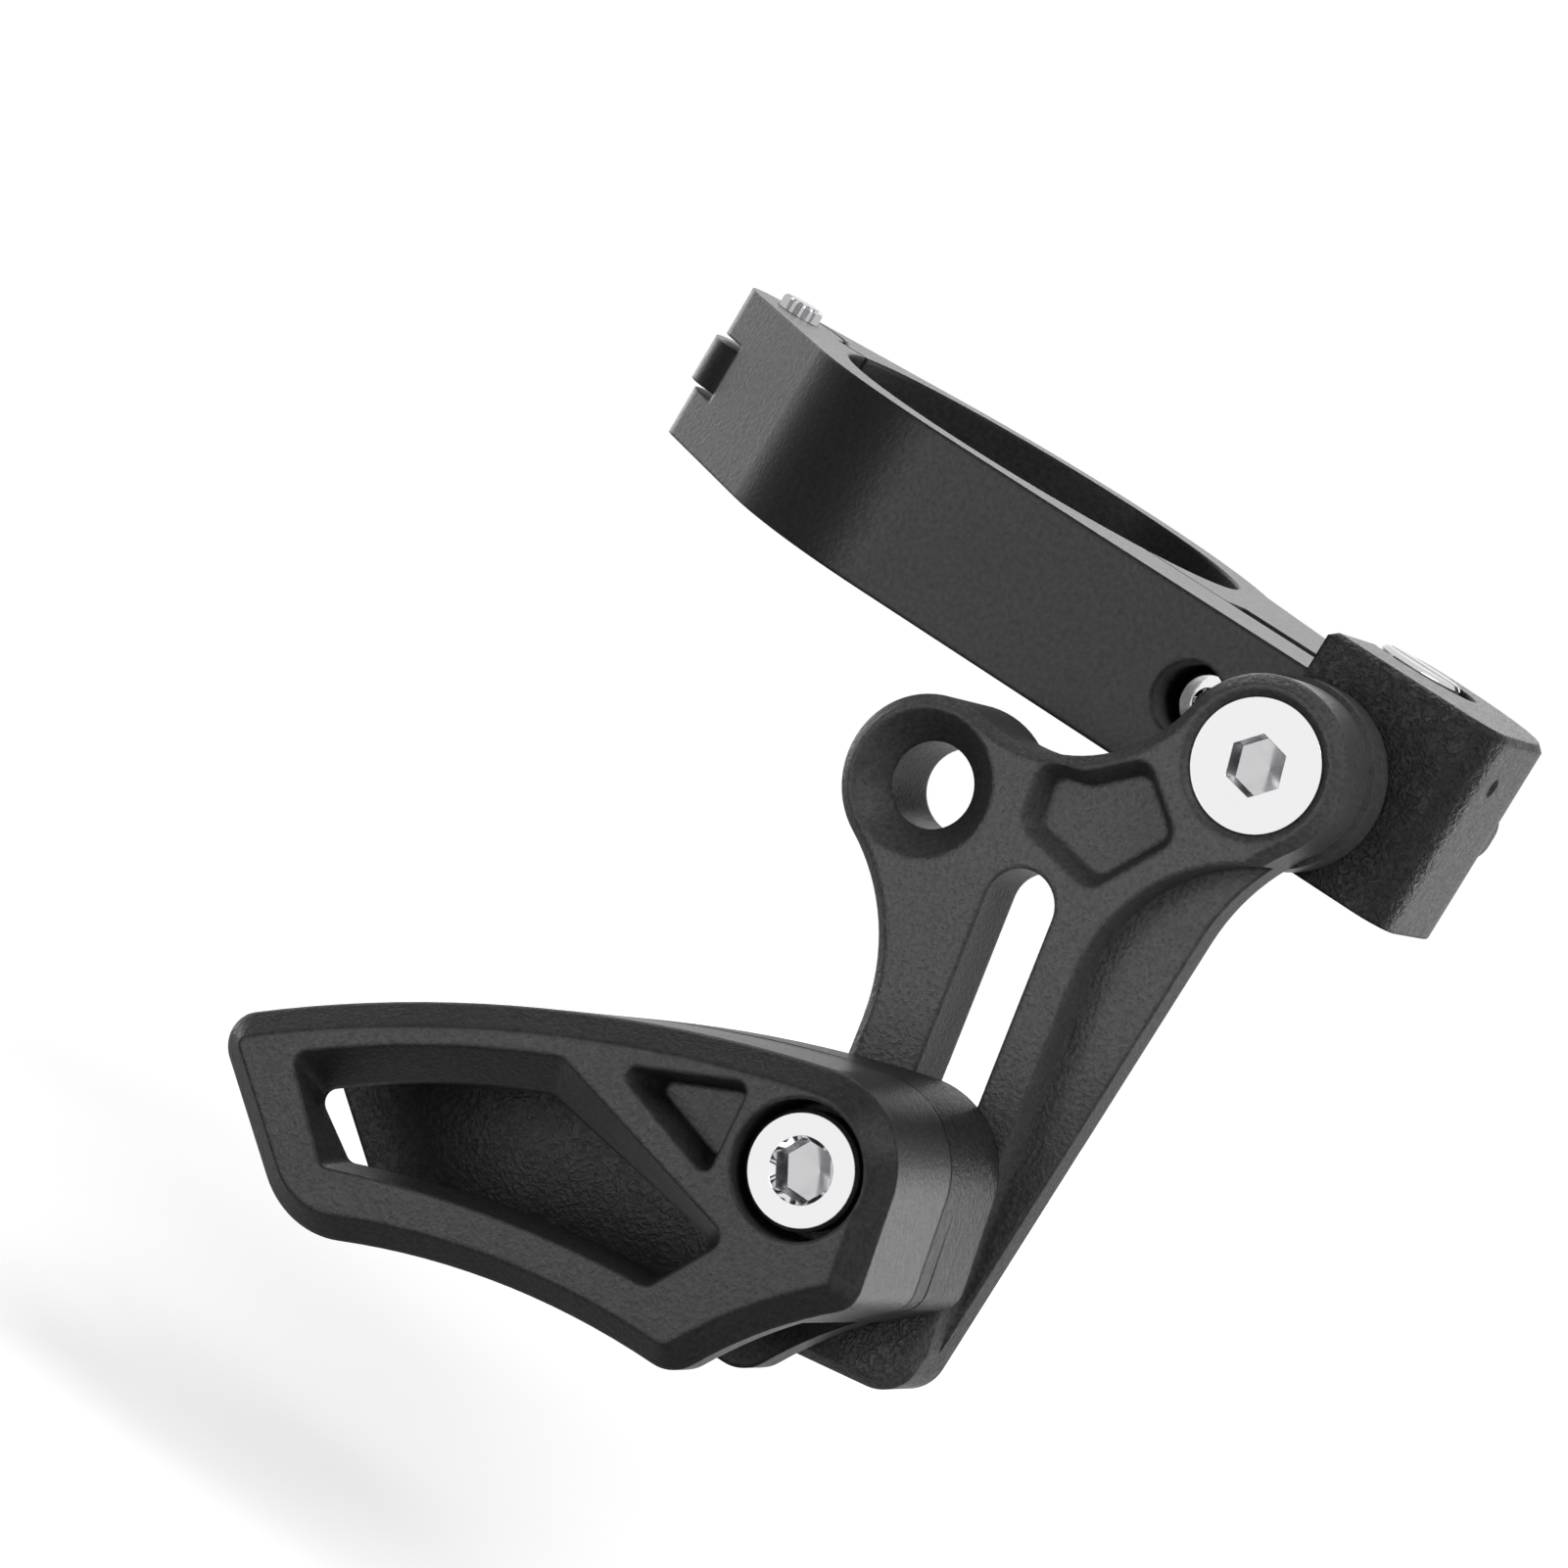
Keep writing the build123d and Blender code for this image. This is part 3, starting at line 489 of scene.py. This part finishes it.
def make_hinge_pin(finish):
    """Hinge pin with a coarse straight knurl on its pressed end."""
    low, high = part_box("hinge_pin")
    length = (high[2] - low[2]) / MM
    radius = (high[0] - low[0]) / 2 / MM
    plain = radius - 0.01
    loops = [(radius - 0.2, -length), (plain, -length + 0.2), (plain, -3.3)]
    loops += [(reach, height, 0, KNURL_GROOVES)
              for reach, height in ((radius, -3.0), (radius, -0.3), (radius - 0.12, -0.08))]
    loops += [(radius - 0.4, 0)]
    place = Matrix.Translation(((low[0] + high[0]) / 2, (low[1] + high[1]) / 2, high[2]))
    finish_piece(turn_solid(loops), "hinge_pin_knurled", place, "clamp_front", (finish,), "hinge_pin")


make_camera()
make_world()
make_floor()

# Softboxes: side in degrees, width and height in metres, power in watts
clamp_and_guide = ("clamp_front_half", "clamp_rear_half", "guide_outer_half", "guide_inner_half")
mouldings = gather("mouldings", "arm", *clamp_and_guide)
smooth_mouldings = gather("smooth_mouldings", *clamp_and_guide)
make_light("front_softbox", side=(-29, -6), size=(0.25, 0.57), power=12.5, shows="reflections", on=mouldings)
make_light("middle_softbox", side=(-5, -6), size=(0.61, 0.57), power=12.0, shows="reflections", on=mouldings)
make_light("left_softbox", side=(-125, 3), size=(0.54, 0.63), power=4.6, shows="reflections", on=mouldings)
make_light("right_softbox", side=(140, -4), size=(0.57, 0.75), power=13.0, shows="reflections", on=smooth_mouldings)
make_light("side_softbox", side=(85, -2), size=(0.7, 0.7), power=4.5, on=mouldings)
make_light("key_softbox", side=(58, 53), size=(0.6, 0.5), power=9.0)
make_light("fill_softbox", side=(-10, 8), size=(0.8, 0.8), power=3.0, shows="soft light", distance=1.2)
make_light("back_softbox", side=(215, 40), size=(0.8, 0.6), power=14.0, on=mouldings)

# Mouldings
clamp_black = plastic("clamp_plastic", (0.016, 0.016, 0.0165), gloss=0.036, rough=0.34, grain=0.4, depth=0.03,
                      edge=0.5, patch=BLOCK_PATCH)
arm_black = plastic("arm_plastic", (0.032, 0.032, 0.0325), gloss=0.08, rough=0.37, grain=0.35, depth=0.1, edge=0.6,
                    patch=ARM_END_PATCH)
guide_black = plastic("guide_plastic", (0.016, 0.016, 0.0165), gloss=0.052, rough=0.34, grain=0.35, depth=0.045,
                      edge=0.5, leather=0.2, seam=GUIDE_SEAM)
# The guide's inner half is a darker, less glossy copy of the guide's plastic: painted shade inside the guide
inner_shaded_black = plastic("guide_inner_shaded_plastic", (0.013, 0.013, 0.0135), gloss=0.03, rough=0.34, grain=0.4, depth=0.07,
                      edge=0.5, leather=0.3, seam=GUIDE_SEAM)
dress(clamp_black, "clamp_front_half", "clamp_rear_half")
dress(arm_black, "arm")
dress(guide_black, "guide_outer_half")
dress(inner_shaded_black, "guide_inner_half")

# Fasteners, with sizes in mm and the turn of their sockets in degrees
bolt_steels = (steel("bolt_steel", (0.86, 0.86, 0.87), rough=0.06),
               # The socket's wall and drilled floor are darker copies of the bright steel: painted shade in the
               # recess
               steel("socket_wall_shaded_steel", (0.3, 0.3, 0.31), rough=0.25),
               steel("socket_floor_shaded_steel", (0.6, 0.6, 0.61), rough=0.2))
dress(steel("nut_steel", (0.62, 0.62, 0.63), rough=0.18), "barrel_nut", "clamp_nut", "slot_nut")
make_pivot_bolt(bolt_steels)
make_cap_screw("guide_bolt_turned", "guide_bolt", "slider", bolt_steels, thread=5.0, pitch=0.8, length=25.9,
               plain=9.0, head=8.5, head_height=5.0, key=4.0, key_depth=2.6, turn=0.8)
make_cap_screw("clamp_screw_turned", "clamp_screw", "screw", bolt_steels, thread=3.0, pitch=0.5, length=22.0,
               plain=4.0, head=5.0, head_height=3.0, key=2.0, key_depth=1.2, turn=10.0)
make_hinge_pin(steel("pin_steel", (0.5, 0.5, 0.51), rough=0.2))

bpy.context.scene.view_settings.view_transform = "Standard"
